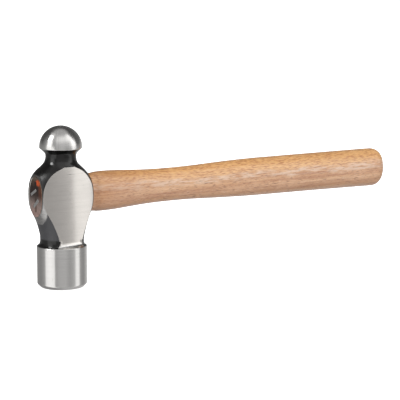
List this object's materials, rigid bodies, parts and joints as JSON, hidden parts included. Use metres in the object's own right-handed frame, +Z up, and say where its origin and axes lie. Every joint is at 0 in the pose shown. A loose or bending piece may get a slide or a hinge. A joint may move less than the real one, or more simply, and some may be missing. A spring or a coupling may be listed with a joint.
{
  "type": "ball peen hammer",
  "caption": "Ball peen hammer: forged steel head with a round flat face, ground cheeks and a ball, on an oval wooden handle wedged in the eye.",
  "frame": {"origin": "centre of the flat striking face", "axes": "+Z runs up the head's axis from the striking face to the ball; +X runs along the handle from the head to the end of the grip; the ground cheeks face -Y and +Y"},
  "size_m": [0.3594, 0.04, 0.1291],
  "materials": {
    "forged_steel": "brushed bright steel on the ball, poll and ground cheeks; black lacquer on the forged shoulders, neck and waist",
    "handle_wood": "clear satin varnish over pale pinkish brown hardwood with short dark grain flecks",
    "wedge_wood": "sanded end grain, dark",
    "wedge_steel": "ground flush, dull"
  },
  "bodies": {
    "root": {"hammer_head": "forged_steel", "handle": "handle_wood", "wood_wedge": "wedge_wood", "steel_wedge_upper": "wedge_steel", "steel_wedge_lower": "wedge_steel"}
  },
  "joints": []
}
